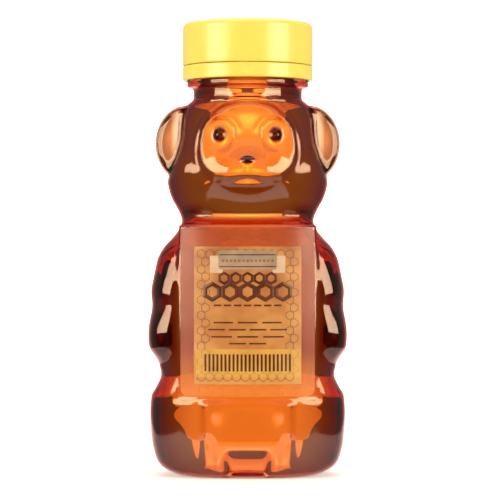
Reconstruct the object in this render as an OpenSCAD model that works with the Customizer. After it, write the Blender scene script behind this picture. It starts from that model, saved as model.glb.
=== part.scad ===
// Honey bear squeeze bottle with a flip-top screw cap. Millimetres, +Z up, front towards -Y.
// The origin is the middle of the foot, and the neck axis is the Z axis.

/* [Show] */
// Which piece to draw

/* [Bear] */
// Width over the belly and hips
bear_w = 68.2; // [55:0.1:95]
// Height from the table to the joint with the neck
bear_h = 131.4; // [110:0.1:170]
// Depth of the belly, front to back, before the lobes
bear_d = 43.5; // [40:0.1:70]
// Wall of the blown bottle
wall = 1.0; // [0.8:0.05:1.4]
// Height of the push-up under the foot
push_up = 3.2; // [1.5:0.1:5]
// Radius of the push-up where it meets the foot
push_r = 13.5; // [9:0.1:14]
// How far the muzzle stands out of the face
muzzle_out = 3.6; // [1:0.1:6]
// How far the thighs swell out
thigh_out = 0.5; // [0:0.1:3]
// How far the lower belly stands out between the thighs
belly_out = 1; // [0:0.1:3]
// How far the arms swell out
arm_out = 2; // [0:0.1:3]
// Distance of the crest of each arm from the middle
arm_x = 30; // [28:0.1:31]
// Height of the middle of the face plate
face_z = 113.5; // [100:0.1:135]
// Half width of the face plate
face_w = 17.5; // [14:0.1:19]
// Half height of the face plate
face_h = 15; // [12:0.1:18]
// Distance of the face plate from the neck axis at its middle
face_y = 19.9; // [18:0.1:24]
// Bend radius of the face plate
face_bend = 90; // [40:1:150]
// Half width over the ears
ear_reach = 32; // [29:0.1:40]
// Half thickness of an ear where it leaves the head
ear_t = 3.7; // [2.4:0.1:5]
// Height of the middle of the ears
ear_z = 114.6; // [100:0.1:140]
// Half height of an ear
ear_h = 13.4; // [9:0.1:18]
// Distance of each eye from the middle
eye_x = 9.3; // [7:0.1:12]
// Height of the eyes
eye_z = 116.8; // [105:0.1:140]
// Height of the nose
nose_z = 108.2; // [95:0.1:130]
// Height of the mouth line
mouth_z = 101.4; // [90:0.1:125]

/* [Label] */
// Width of the clear label, measured square across
label_w = 45.6; // [30:0.1:60]
// Height of the clear label
label_h = 57.2; // [40:0.1:70]
// Height of the label's lower edge above the table
label_z = 28.3; // [20:0.1:40]
// Corner radius of the label
label_corner = 2.4; // [0.5:0.1:6]
// Thickness of the label film with its print
label_t = 0.15; // [0.08:0.01:0.4]
// Bend radius of the panel that the label lies on
panel_r = 55; // [40:1:150]
// Distance of the panel from the neck axis at its middle
panel_y = 21; // [19:0.1:34]
// Gap left for the glue under the label
glue = 0.04; // [0.02:0.01:0.1]

/* [Neck] */
// Radius of the neck below the bead
neck_r = 18.8; // [18.4:0.05:19.2]
// Radius of the bore through the neck
bore_r = 15.9; // [14.5:0.1:16.4]
// Radius over the bead that the cap comes down to
bead_r = 21; // [20:0.1:22]
// Height of the bead
bead_h = 2.8; // [1.5:0.1:4]
// Radius of the wall between the threads
thread_root = 17.5; // [17.2:0.05:17.8]
// Radius over the threads
thread_tip = 18.7; // [18.2:0.05:18.9]
// Rise of the thread for one turn
pitch = 4.233; // [3:0.001:5]
// Turns of thread on the neck
thread_turns = 1.15; // [0.9:0.01:1.2]
// Height from the top of the bead to the lip
finish_h = 11; // [10:0.1:12]

/* [Cap] */
// Outside radius of the cap
cap_r = 22.5; // [21.9:0.1:25]
// Height of the cap, closed
cap_h = 19.9; // [18:0.1:24]
// Height of the plain band below the lid
band_h = 4.9; // [4.2:0.1:6]
// Wall of the lid and of the band
cap_wall = 1.3; // [1:0.1:1.4]
// Thickness of the deck over the lip
deck_t = 1.4; // [1:0.1:1.6]
// Thickness of the top of the lid
lid_top = 1.5; // [1:0.1:1.8]
// Corner radius round the top of the lid
lid_round = 1.8; // [0.5:0.1:2.4]
// Radius of the pouring hole
orifice_r = 2.9; // [2:0.1:3.6]
// Outside radius of the spout at its top
spout_r = 4.6; // [4:0.1:6]
// Height of the spout above the deck
spout_h = 2.9; // [2:0.1:3.4]
// Width of the hinge strip
hinge_w = 11; // [6:0.5:16]
// Thickness of the hinge strip
hinge_t = 0.45; // [0.3:0.05:0.7]
// Gap between the band and the lid
parting = 0.25; // [0.15:0.05:0.4]

/* [Contents and seals] */
// Gap between the honey and the wall
honey_gap = 0.3; // [0.2:0.05:0.6]
// Empty height between the honey and the lip
headspace = 7; // [4:0.1:12]
// Thickness of the foil seal
foil_t = 0.2; // [0.1:0.05:0.3]
// Thickness of the foam liner
liner_t = 0.8; // [0.5:0.05:1.2]

/* [Clearances] */
// Gap round the threads, and between parts that turn
run_gap = 0.3; // [0.25:0.01:0.5]
// Gap between flat faces that slide or press together
face_gap = 0.04; // [0.02:0.01:0.1]

/* [Hidden] */
$fn = 96;
// the bear is drawn at its own size and scaled by these three
ws = bear_w / 68.2;
hs = bear_h / 131.4;
ds = bear_d / 50;
// heights of the neck and cap, each from the one below
bead_z = bear_h + 1.9;
finish_z = bead_z + bead_h;
lip_z = finish_z + finish_h;
cap_z = finish_z + run_gap * 0.7;
band_z = cap_z + band_h;
lid_z = band_z + parting;
top_z = cap_z + cap_h;
honey_top = lip_z - headspace;
foil_z = lip_z + face_gap;
liner_z = foil_z + foil_t + face_gap;
deck_z = liner_z + liner_t + face_gap;
deck_top = deck_z + deck_t;
spout_z = deck_top + spout_h;
// radii inside the cap
skirt_r = thread_tip + run_gap;
tower_r = cap_r - cap_wall - 1;
rib_tip = thread_root + run_gap + 0.1;
thread_z = finish_z + 3.5;
// the hinge line is on the parting, at the back of the cap
hinge_y = cap_r;
hinge_z = band_z + parting / 2;

// angles round the bear: close together on the face, the arms and the ears, wider behind
half_turn = [
    for (i = [0 : 34]) -90 + 3 * i,
    for (j = [1 : 12]) 12 + 6.5 * j
];
turn = concat(half_turn, [for (i = [len(half_turn) - 2 : -1 : 1]) 180 - half_turn[i]]);
segs = len(turn);

// levels of the outside skin, closest at the foot, the creases and the face
levels = [
    0, 0.7, 1.7, 3, 5, 7.5, 10.5, 14, 20, 25, 28, 30.5, 33, 35, 37.2, 40, 43, 46, 51, 57,
    64, 70.5, 74.5, 77.5, 80.2, 82.6, 85, 87.4, 89.6, 92.4, 96, 98.6, 100.6, 102.2,
    103.8, 105.6, 107.2, 108.4, 109.8, 112, 113.8, 115.4, 116.8, 118.4, 120.2, 122.2,
    124.2, 126.2, 128, 129.6, 131.4
] * hs;
// levels of the inside skin
in_levels = [
    for (z = [2, 3.4, 5.4, 8.5, 12.5, 17.5, 22.5, 27, 30.5, 33, 35, 37.2, 40.5, 44.5, 50, 57,
        64, 70, 75, 79, 82.5, 85.8, 88, 90, 93.2, 97, 100.5, 104.5, 109, 113.5, 118.5,
        122.5, 126, 129]) z * hs,
    bear_h
];

// stations up the bear: height, half width, front reach, back reach, squareness
stations = [
    [0, 22.4, 16.0, 16.4, 2.3],
    [0.7, 25.4, 18.8, 18.9, 2.3],
    [1.7, 27.7, 20.6, 20.7, 2.3],
    [3, 29.8, 21.5, 22.2, 2.35],
    [5, 31.4, 22.4, 23.6, 2.35],
    [8, 32.5, 22.8, 24.6, 2.35],
    [12, 33.3, 23.0, 25.2, 2.35],
    [21, 33.9, 23.2, 25.6, 2.35],
    [27.2, 33.5, 23.8, 25.4, 2.4],
    [31, 31.6, 25.0, 25.1, 2.45],
    [34.8, 30.1, 24.9, 24.9, 2.5],
    [37.5, 30.6, 24.9, 24.9, 2.5],
    [41.5, 31.4, 25.0, 25.0, 2.45],
    [45.5, 32.4, 25.0, 25.1, 2.4],
    [52, 32.7, 25.0, 25.1, 2.4],
    [62, 32.6, 25.0, 24.6, 2.4],
    [70, 30.7, 24.9, 23.9, 2.4],
    [75.8, 29.2, 24.7, 23.0, 2.4],
    [79.2, 28.1, 24.2, 22.2, 2.4],
    [82, 26.2, 23.2, 21.5, 2.4],
    [85, 24.0, 21.4, 20.6, 2.4],
    [88, 22.9, 18.7, 19.8, 2.4],
    [89.6, 23.3, 17.5, 19.8, 2.35],
    [92, 24.4, 18.2, 20.0, 2.3],
    [95.2, 26.2, 19.6, 20.7, 2.2],
    [98.2, 27.3, 21.1, 21.2, 2.15],
    [101.5, 27.9, 22.5, 21.6, 2.1],
    [105, 27.1, 22.8, 22.0, 2.2],
    [110, 24.4, 22.6, 22.2, 2.35],
    [116, 23.3, 22.2, 22.1, 2.35],
    [122, 22.9, 21.4, 21.6, 2.3],
    [126, 22.1, 20.7, 20.9, 2.15],
    [128.6, 20.4, 19.8, 19.9, 2],
    [130, neck_r / ws, neck_r / ds, neck_r / ds, 2],
    [131.4, neck_r / ws, neck_r / ds, neck_r / ds, 2]
];

// 0 up to lo, 1 from hi on, eased between
function ease(lo, hi, v) =
    let (t = min(1, max(0, (v - lo) / (hi - lo))))
    t * t * (3 - 2 * t);
// 1 between lo and hi, easing to 0 over soft beyond them
function window(lo, hi, soft, v) = ease(lo - soft, lo, v) * (1 - ease(hi, hi + soft, v));
function hill(d) = exp(-d * d);
function disc(dx, dz, rx, rz) = sqrt(dx * dx / rx / rx + dz * dz / rz / rz);

// a smooth curve through the stations that never overshoots them
function rise(t, i, k) = (t[i + 1][k] - t[i][k]) / (t[i + 1][0] - t[i][0]);
function lean(t, i, k) =
    i <= 0 ? rise(t, 0, k)
    : i >= len(t) - 1 ? rise(t, len(t) - 2, k)
    : rise(t, i - 1, k) * rise(t, i, k) <= 0 ? 0
    : 2 * rise(t, i - 1, k) * rise(t, i, k) / (rise(t, i - 1, k) + rise(t, i, k));
function row_of(t, v, i = 0) =
    i >= len(t) - 2 || v < t[i + 1][0] ? i : row_of(t, v, i + 1);
function along(t, v, k) =
    let (
        i = row_of(t, v),
        h = t[i + 1][0] - t[i][0],
        s = (v - t[i][0]) / h,
        s2 = s * s,
        s3 = s2 * s
    )
    (2 * s3 - 3 * s2 + 1) * t[i][k] + (s3 - 2 * s2 + s) * h * lean(t, i, k)
    + (3 * s2 - 2 * s3) * t[i + 1][k] + (s3 - s2) * h * lean(t, i + 1, k);

// distance from the axis to an upright panel along an angle, sunk by an inset
function to_panel(ang, bend, reach, inset) =
    let (
        mid = bend - reach,
        c = mid * sin(ang)
    )
    c + sqrt(max(0, c * c - mid * mid + (bend - inset) * (bend - inset)));
// 1 where the label lies
function on_panel(x, z) =
    window(-label_w / 2 - 0.6, label_w / 2 + 0.6, 1.8, x)
    * window(label_z - 0.9, label_z + label_h + 0.6, 1.9, z);

// big forms, which the inside of the wall follows too; w is the bear's own height
function thighs(x, w) = thigh_out * hill(disc(abs(x) - 25.5, w - 17, 6.5, 11));
// the lower belly ends in an arch over the feet
function belly(x, w) =
    let (foot = 9.2 - 5.5 * ease(6, 11, abs(x)))
    belly_out * (1 - ease(13, 17, abs(x))) * ease(foot - 2, foot + 2, w)
    * (1 - ease(27, 32, w));
function between_feet(x, w) =
    -4.2 * ease(0.2, 1.8, w) * (1 - ease(3.5, 11, w)) * (1 - ease(6.5, 9.5, abs(x)));
// each arm climbs from the label's edge to its crest and falls away behind it
function arms(x, w) =
    let (
        off = abs(x) - arm_x + 0.03 * (w - 44),
        across = off < 0 ? ease(-5.8, 0, off) : hill(off / 4.5),
        swell = ease(38.5, 44.5, w) * (1 - ease(74, 84, w)) - 0.5 * hill((w - 58.5) / 4),
        paw = 0.6 * hill(disc(abs(x) - 29.5, w - 48.4, 3.5, 6))
    )
    arm_out * (across * swell + paw);
function muzzle(x, w) =
    muzzle_out * hill(disc(x, w - 105.4, 11.2, 7))
    + 0.8 * hill(disc(abs(x) - 5.6, w - 103.6, 5, 3.8));

// small forms on the outside only
function eyes(x, w) =
    let (d = disc(abs(x) - eye_x, w - eye_z, 2.3, 2.7))
    1.6 * max(0, 1.05 - sqrt(d * d + 0.01)) - 0.4 * hill((d - 1.6) / 0.4);
function nose(x, w) = 1.5 * (1 - ease(0.15, 1.2, disc(x, w - nose_z, 2.6, 1.5)));
function mouth(x, w) =
    let (line = mouth_z - 0.9 * hill((abs(x) - 5.4) / 3) + 0.03 * abs(x))
    -0.5 * hill((w - line) / 0.95) * (1 - ease(9.6, 11.6, abs(x)))
    - 0.35 * hill(x / 0.9) * window(mouth_z, nose_z - 2, 1, w);
function brows(x, w) =
    0.35 * hill((disc(abs(x) - eye_x, w - eye_z, 1, 1) - 6.6) / 0.9)
    * ease(0, 2.4, w - eye_z);
function face_rim(x, w) =
    0.5 * hill((disc(x, w - face_z + 0.9, 1, 1) - face_w - 0.1) / 1.5) * ease(104, 110, w);
function chin(x, w) = -0.5 * hill((w - 89.6 + 1.2 * hill(x / 12)) / 1.5) * hill(x / 22);
function knees(x, w) =
    0.5 * hill(disc(abs(x) - 10.4, w - 23.5, 2.6, 4))
    - 0.6 * hill((abs(x) - 12.4 - 0.16 * (w - 8)) / 1.5) * window(5, 25, 3, w);
function small(x, w) =
    eyes(x, w) + nose(x, w) + mouth(x, w) + brows(x, w) + face_rim(x, w) + chin(x, w)
    + knees(x, w);

// outline of an ear above the head, as a distance from the axis
function ear_edge(w) =
    let (t = (w - ear_z) / ear_h)
    abs(t) >= 1 ? 0 : 21 + (ear_reach / ws - 21) * pow(1 - t * t, 0.5);

// distance from the axis to the skin; inset sinks it, fine adds the small forms, and the
// inside takes only a share of each bulge, so the wall is thicker there
bulge_share = 0.75;
mask_share = 0.6;
ear_share = 0.4;
ear_sink = 4.5;
function skin(z, ang, inset, fine) =
    let (
        w = z / hs,
        front = sin(ang) < 0,
        a = along(stations, w, 1) * ws - inset,
        b = (front ? along(stations, w, 2) : along(stations, w, 3) * back_k(w)) * ds - inset,
        n = along(stations, w, 4) + (front ? 0 : 0.8 * window(100, 121, 7, w)),
        plain = pow(pow(abs(cos(ang)) / a, n) + pow(abs(sin(ang)) / b, n), -1 / n),
        x = plain * cos(ang) / ws,
        y = plain * sin(ang) / ds,
        fore = ease(0, 9, -y),
        side = ease(-6, 6, -y),
        bulge = fore * fore * (thighs(x, w) + belly(x, w)) + side * arms(x, w),
        grown = plain + (fine > 0 ? 1 : bulge_share) * bulge + fore * fore * between_feet(x, w),
        mask = to_panel(ang, face_bend, face_y, inset),
        face = fore * (1 - ease(0.88, 1.12, disc(mask * cos(ang) / ws, w - face_z, face_w, face_h))),
        faced = grown + (fine > 0 ? 1 : mask_share) * face * (mask - grown),
        fx = faced * cos(ang) / ws,
        formed = faced + fore * (muzzle(fx, w) + fine * small(fx, w)),
        sheet = to_panel(ang, panel_r, panel_y, inset),
        flat = fore * on_panel(sheet * cos(ang), z),
        panelled = formed + flat * (sheet - formed),
        ear = (ear_edge(w) * ws - (1 - fine) * ear_sink - plain) * exp(-pow(abs(y) / ear_t, 3))
    )
    panelled + (ear > 0 ? ear * (fine > 0 ? 1 : ear_share) : 0);

function at(r, ang, z) = [r * cos(ang), r * sin(ang), z];

// the back reaches as far from the neck axis as the front does, so the bear stands over its foot
front_reach = max([for (z = levels) for (ang = [-90 : 3 : -30]) -skin(z, ang, 0, 1) * sin(ang)]);
back_reach = max([for (z = levels) along(stations, z / hs, 3) * ds]);
function back_k(w) = 1 + (front_reach / back_reach - 1) * (1 - ease(98, 124, w));

// inside of the wall thickens towards the heel, where the skin slopes
function inset_at(z) = wall * (1 + 0.8 * (1 - ease(0, 9, z)) + 0.35 * ease(bear_h - 9, bear_h - 2, z));
// height of the push-up over a point this far from the middle
push_ball = (push_r * push_r + push_up * push_up) / 2 / push_up;
function dome(r) = r >= push_r ? 0 : sqrt(push_ball * push_ball - r * r) - (push_ball - push_up);

in_turn = [for (j = [0 : 2 : segs - 1]) turn[j]];
in_segs = len(in_turn);
out_n = len(levels);
in_n = len(in_levels);
floor_steps = [0.74, 0.48, 0.24];

function inner_r(z, ang, more) = skin(z, ang, inset_at(z) + more, 0);
function inner_ring(z, more) = [for (ang = in_turn) at(inner_r(z, ang, more), ang, z)];
function floor_ring(f, more) = [
    for (ang = in_turn)
        let (r = f * inner_r(in_levels[0], ang, more))
        at(r, ang, in_levels[0] + more + dome(r) * 0.97)
];

shell_points = concat(
    [for (z = levels) for (ang = turn) at(skin(z, ang, 0, 1), ang, z)],
    [for (z = in_levels) for (p = inner_ring(z, 0)) p],
    [for (f = floor_steps) for (p = floor_ring(f, 0)) p],
    [[0, 0, 0], [0, 0, in_levels[0] + push_up]]
);
in_0 = out_n * segs;
floor_0 = in_0 + in_n * in_segs;
mid_0 = floor_0 + len(floor_steps) * in_segs;

function lower(f, j) = f == 0 ? in_0 + j : floor_0 + (f - 1) * in_segs + j;
shell_faces = concat(
    [for (i = [0 : out_n - 2]) for (j = [0 : segs - 1]) let (k = (j + 1) % segs)
        [i * segs + j, (i + 1) * segs + j, (i + 1) * segs + k]],
    [for (i = [0 : out_n - 2]) for (j = [0 : segs - 1]) let (k = (j + 1) % segs)
        [i * segs + j, (i + 1) * segs + k, i * segs + k]],
    [for (j = [0 : segs - 1]) [mid_0, j, (j + 1) % segs]],
    [for (i = [0 : in_n - 2]) for (j = [0 : in_segs - 1]) let (k = (j + 1) % in_segs)
        [in_0 + i * in_segs + j, in_0 + (i + 1) * in_segs + k, in_0 + (i + 1) * in_segs + j]],
    [for (i = [0 : in_n - 2]) for (j = [0 : in_segs - 1]) let (k = (j + 1) % in_segs)
        [in_0 + i * in_segs + j, in_0 + i * in_segs + k, in_0 + (i + 1) * in_segs + k]],
    [for (f = [0 : len(floor_steps) - 1]) for (j = [0 : in_segs - 1]) let (k = (j + 1) % in_segs)
        [lower(f, j), lower(f + 1, j), lower(f + 1, k)]],
    [for (f = [0 : len(floor_steps) - 1]) for (j = [0 : in_segs - 1]) let (k = (j + 1) % in_segs)
        [lower(f, j), lower(f + 1, k), lower(f, k)]],
    [for (j = [0 : in_segs - 1])
        [mid_0 + 1, lower(len(floor_steps), (j + 1) % in_segs), lower(len(floor_steps), j)]],
    [for (j = [0 : in_segs - 1]) let (
            o = (out_n - 1) * segs + 2 * j,
            p = in_0 + (in_n - 1) * in_segs + j)
        [o, p, o + 1]],
    [for (j = [0 : in_segs - 1]) let (
            o = (out_n - 1) * segs + 2 * j,
            k = (j + 1) % in_segs,
            p = in_0 + (in_n - 1) * in_segs)
        [p + j, p + k, o + 1]],
    [for (j = [0 : in_segs - 1]) let (
            o = (out_n - 1) * segs,
            k = (j + 1) % in_segs,
            p = in_0 + (in_n - 1) * in_segs)
        [o + 2 * j + 1, p + k, o + 2 * k]]
);

// The blown bear: foot, thighs, belly, arms, head, ears and face in one wall
module bear_body() {
    color("#d98a2b")
        difference() {
            polyhedron(points = shell_points, faces = shell_faces, convexity = 8);
            translate([0, 0, push_up - push_ball])
                sphere(r = push_ball, $fn = 96);
        }
}

// the honey follows the wall up to the shoulder, then draws in to the bore of the neck
honey_levels = [for (z = in_levels) if (z < bear_h - 2) z];
bore_levels = [bear_h - 0.9, honey_top];
honey_n = len(honey_levels) + len(bore_levels);
honey_points = concat(
    [for (z = honey_levels) for (p = inner_ring(z, honey_gap))
        p + [0, 0, z == in_levels[0] ? honey_gap : 0]],
    [for (z = bore_levels) for (ang = in_turn) at(bore_r - honey_gap, ang, z)],
    [for (f = floor_steps) for (p = floor_ring(f, honey_gap)) p],
    [[0, 0, honey_top], [0, 0, in_levels[0] + honey_gap + push_up]]
);
hf_0 = honey_n * in_segs;
hm_0 = hf_0 + len(floor_steps) * in_segs;
function h_lower(f, j) = f == 0 ? j : hf_0 + (f - 1) * in_segs + j;
honey_faces = concat(
    [for (i = [0 : honey_n - 2]) for (j = [0 : in_segs - 1]) let (k = (j + 1) % in_segs)
        [i * in_segs + j, (i + 1) * in_segs + j, (i + 1) * in_segs + k]],
    [for (i = [0 : honey_n - 2]) for (j = [0 : in_segs - 1]) let (k = (j + 1) % in_segs)
        [i * in_segs + j, (i + 1) * in_segs + k, i * in_segs + k]],
    [for (j = [0 : in_segs - 1])
        [hm_0, (honey_n - 1) * in_segs + (j + 1) % in_segs, (honey_n - 1) * in_segs + j]],
    [for (f = [0 : len(floor_steps) - 1]) for (j = [0 : in_segs - 1]) let (k = (j + 1) % in_segs)
        [h_lower(f, j), h_lower(f + 1, k), h_lower(f + 1, j)]],
    [for (f = [0 : len(floor_steps) - 1]) for (j = [0 : in_segs - 1]) let (k = (j + 1) % in_segs)
        [h_lower(f, j), h_lower(f, k), h_lower(f + 1, k)]],
    [for (j = [0 : in_segs - 1])
        [hm_0 + 1, h_lower(len(floor_steps), j), h_lower(len(floor_steps), (j + 1) % in_segs)]]
);

// The honey, a little clear of the wall all round
module honey() {
    color("#c8660f")
        polyhedron(points = honey_points, faces = honey_faces, convexity = 6);
}

// A ridge that winds up round the axis: from foot to tip radius, wider at its foot
module ridge(foot, tip, wide_foot, wide_tip, z, turns) {
    n = ceil(36 * turns);
    // the ridge runs out at both ends
    depth = [for (i = [0 : n]) ease(-1, 5, i) * ease(-1, 5, n - i)];
    points = [
        for (i = [0 : n])
            let (
                a = 360 * turns * i / n,
                mid = z + pitch * turns * i / n,
                r = foot + (tip - foot) * max(0.12, depth[i])
            )
            for (q = [[foot, -wide_foot], [r, -wide_tip], [r, wide_tip], [foot, wide_foot]])
                [q[0] * cos(a), q[0] * sin(a), mid + q[1] / 2]
    ];
    out = tip > foot;
    sides = [
        for (i = [0 : n - 1]) for (s = [0 : 3])
            let (a = 4 * i + s, b = 4 * i + (s + 1) % 4)
            for (f = [[a, a + 4, b + 4], [a, b + 4, b]])
                out ? [f[0], f[2], f[1]] : f
    ];
    ends = [
        for (f = [[0, 1, 2], [0, 2, 3], [4 * n, 4 * n + 2, 4 * n + 1], [4 * n, 4 * n + 3, 4 * n + 2]])
            out ? [f[0], f[2], f[1]] : f
    ];
    polyhedron(points = points, faces = concat(sides, ends), convexity = 6);
}

// The moulded neck: bore, bead, lip and screw thread
module neck_finish() {
    color("#e0a050") {
        rotate_extrude()
            polygon([
                [bore_r, bear_h],
                [neck_r, bear_h],
                [neck_r, bead_z],
                [bead_r - 0.9, bead_z + 0.4],
                [bead_r, bead_z + 1.1],
                [bead_r, finish_z - 0.3],
                [bead_r - 0.3, finish_z],
                [thread_root, finish_z],
                [thread_root, lip_z - 0.5],
                [thread_root - 0.5, lip_z],
                [bore_r + 0.3, lip_z],
                [bore_r, lip_z - 0.3]
            ]);
        ridge(thread_root - 0.3, thread_tip, 2.3, 1.1, thread_z, thread_turns);
    }
}

// The film label, bent to the panel on the belly
module front_label() {
    x = label_w / 2 - label_corner;
    z0 = label_z + label_corner;
    z1 = label_z + label_h - label_corner;
    color("#e8b060")
        intersection() {
            translate([0, panel_r - panel_y, 0])
                difference() {
                    cylinder(r = panel_r + glue + label_t, h = bear_h, $fn = 180);
                    translate([0, 0, -1])
                        cylinder(r = panel_r + glue, h = bear_h + 2, $fn = 180);
                }
            union() {
                translate([-label_w / 2, -panel_y - 5, z0])
                    cube([label_w, 15, z1 - z0]);
                translate([-x, -panel_y - 5, label_z])
                    cube([2 * x, 15, label_h]);
                for (p = [[-x, z0], [x, z0], [-x, z1], [x, z1]])
                    translate([p[0], -panel_y - 5, p[1]])
                        rotate([-90, 0, 0])
                            cylinder(r = label_corner, h = 15, $fn = 48);
            }
        }
}

// The foil disc that is sealed on the lip
module foil_seal() {
    color("#d8d8d8")
        translate([0, 0, foil_z])
            cylinder(r = thread_root - 0.2, h = foil_t);
}

// The foam ring under the deck of the cap
module cap_liner() {
    color("#f4f4ee")
        translate([0, 0, liner_z])
            difference() {
                cylinder(r = skirt_r - run_gap, h = liner_t);
                translate([0, 0, -1])
                    cylinder(r = 12, h = liner_t + 2);
            }
}

// The screw part of the cap: band, threaded skirt, deck and spout
module cap_base() {
    color("#f2dc3c") {
        difference() {
            rotate_extrude()
                polygon([
                    [skirt_r, cap_z],
                    [skirt_r + 1, cap_z],
                    [skirt_r + 1.2, cap_z + 0.2],
                    [tower_r, band_z - 1.6],
                    [cap_r - cap_wall, band_z - 1.6],
                    [cap_r - cap_wall, cap_z],
                    [cap_r - 0.3, cap_z],
                    [cap_r, cap_z + 0.3],
                    [cap_r, band_z - 0.2],
                    [cap_r - 0.2, band_z],
                    [tower_r, band_z],
                    [tower_r, deck_top - 1.2],
                    [tower_r - 0.35, deck_top - 0.35],
                    [tower_r - 1.2, deck_top],
                    [spout_r + 1.6, deck_top],
                    [spout_r + 0.5, deck_top + 0.4],
                    [spout_r, deck_top + 1.3],
                    [spout_r, spout_z - 0.3],
                    [spout_r - 0.3, spout_z],
                    [orifice_r + 0.4, spout_z],
                    [orifice_r, spout_z - 0.5],
                    [orifice_r, deck_z + 0.3],
                    [orifice_r + 0.3, deck_z],
                    [skirt_r, deck_z]
                ]);
            // hollow for the thumb under the front edge of the lid
            translate([0, -cap_r - 7.1, band_z])
                sphere(r = 8, $fn = 64);
        }
        ridge(skirt_r + 0.3, rib_tip, 2.2, 1, thread_z - pitch / 2, 1.1);
    }
}

// The lid: skirt, rounded top and the plug that shuts the spout
module flip_lid() {
    color("#f7e64c")
        rotate_extrude()
            polygon([
                [cap_r - cap_wall, lid_z],
                [cap_r - 0.2, lid_z],
                [cap_r, lid_z + 0.2],
                for (a = [0 : 15 : 90])
                    [cap_r - lid_round * (1 - cos(a)), top_z - lid_round * (1 - sin(a))],
                [0, top_z],
                [0, spout_z - 1.3],
                [orifice_r - 1.3, spout_z - 1.3],
                [orifice_r - 0.45, spout_z - 0.2],
                [orifice_r - 0.3, top_z - lid_top],
                [cap_r - cap_wall - 0.6, top_z - lid_top],
                [cap_r - cap_wall, top_z - lid_top - 0.6]
            ]);
}

// The thin strip that holds the lid to the band at the back
module living_hinge() {
    color("#efdc44")
        difference() {
            translate([-hinge_w / 2, hinge_y - 1.2, hinge_z])
                rotate([0, 90, 0])
                    difference() {
                        cylinder(r = 2.1, h = hinge_w, $fn = 48);
                        translate([0, 0, -1])
                            cylinder(r = 2.1 - hinge_t, h = hinge_w + 2, $fn = 48);
                    }
            translate([0, 0, cap_z - 1])
                cylinder(r = cap_r, h = cap_h + 2);
        }
}

bear_body();
neck_finish();
honey();
front_label();
foil_seal();
cap_liner();
cap_base();
flip_lid();
living_hinge();
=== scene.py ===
import math

import bpy
import numpy as np
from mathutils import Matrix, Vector


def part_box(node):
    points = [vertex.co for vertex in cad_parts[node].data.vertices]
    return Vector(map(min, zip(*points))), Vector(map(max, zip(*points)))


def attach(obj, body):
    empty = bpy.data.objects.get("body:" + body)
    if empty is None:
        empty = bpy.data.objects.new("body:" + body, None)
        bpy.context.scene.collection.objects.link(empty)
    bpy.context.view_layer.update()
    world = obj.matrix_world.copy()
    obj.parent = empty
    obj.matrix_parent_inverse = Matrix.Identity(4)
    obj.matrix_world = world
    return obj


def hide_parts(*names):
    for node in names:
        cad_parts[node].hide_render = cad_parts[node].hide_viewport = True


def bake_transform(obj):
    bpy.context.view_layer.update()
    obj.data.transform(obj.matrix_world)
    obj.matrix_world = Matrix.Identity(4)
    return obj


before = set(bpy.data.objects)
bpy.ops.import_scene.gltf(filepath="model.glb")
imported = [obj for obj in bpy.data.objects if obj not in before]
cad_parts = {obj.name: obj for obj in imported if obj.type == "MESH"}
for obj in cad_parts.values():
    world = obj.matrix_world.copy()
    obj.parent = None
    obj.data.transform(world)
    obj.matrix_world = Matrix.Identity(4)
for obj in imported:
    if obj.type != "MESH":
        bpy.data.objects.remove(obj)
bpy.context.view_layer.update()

# The honey bear bottle: a clear blown bear full of honey, a printed film label and a yellow
# flip-top cap. Lengths are in millimetres, and MM turns them into Blender's metres.
MM = 0.001


def node_box(node):
    """A node's lowest and highest corners, in millimetres."""
    low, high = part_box(node)
    return np.array(low) / MM, np.array(high) / MM


# sizes read from the frame
BODY_LOW, BODY_HIGH = node_box("bear_body")
NECK_HIGH = node_box("neck_finish")[1]
SCREW_LOW, SCREW_HIGH = node_box("cap_base")
LID_LOW, LID_HIGH = node_box("flip_lid")
LABEL_LOW, LABEL_HIGH = node_box("front_label")
HINGE_LOW, HINGE_HIGH = node_box("living_hinge")
BEAR_W = BODY_HIGH[0] - BODY_LOW[0]
BEAR_H = BODY_HIGH[2]
BEAD_R = NECK_HIGH[0]
LIP_Z = NECK_HIGH[2]
HONEY_TOP = node_box("honey")[1][2]
CAP_R = LID_HIGH[0]
CAP_Z = SCREW_LOW[2]
SPOUT_Z = SCREW_HIGH[2]
LID_Z = LID_LOW[2]
TOP_Z = LID_HIGH[2]
LABEL_W = LABEL_HIGH[0] - LABEL_LOW[0]
LABEL_H = LABEL_HIGH[2] - LABEL_LOW[2]
LABEL_Z = LABEL_LOW[2]

# the neck and its thread
NECK_R = 18.8
BORE_R = 15.9
NECK_BARE = 1.9
BEAD_H = 2.8
THREAD_ROOT = 17.5
THREAD_TIP = 18.7
THREAD_TURNS = 1.15
THREAD_UP = 3.5
PITCH = 4.233
BEAD_Z = BEAR_H + NECK_BARE
FINISH_Z = BEAD_Z + BEAD_H
THREAD_Z = FINISH_Z + THREAD_UP

# the cap
RUN_GAP = 0.3
BAND_H = 4.9
CAP_WALL = 1.3
DECK_T = 1.4
LID_TOP = 1.5
LID_ROUND = 1.8
ORIFICE_R = 2.9
SPOUT_R = 4.6
SPOUT_H = 2.9
THUMB_R = 8.0
THUMB_OUT = 7.1
HINGE_BOW = 2.1
HINGE_T = 0.44
BAND_Z = CAP_Z + BAND_H
SKIRT_R = THREAD_TIP + RUN_GAP
TOWER_R = CAP_R - CAP_WALL - 1
DECK_TOP = SPOUT_Z - SPOUT_H
DECK_Z = DECK_TOP - DECK_T

# the bear is drawn at its pattern's own size, and these three scale it to the frame
BEAR_D = 43.5
PATTERN_W = 68.76
PATTERN_H = 131.4
PATTERN_D = 50.0
WS = BEAR_W / PATTERN_W
HS = BEAR_H / PATTERN_H
DS = BEAR_D / PATTERN_D

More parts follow.
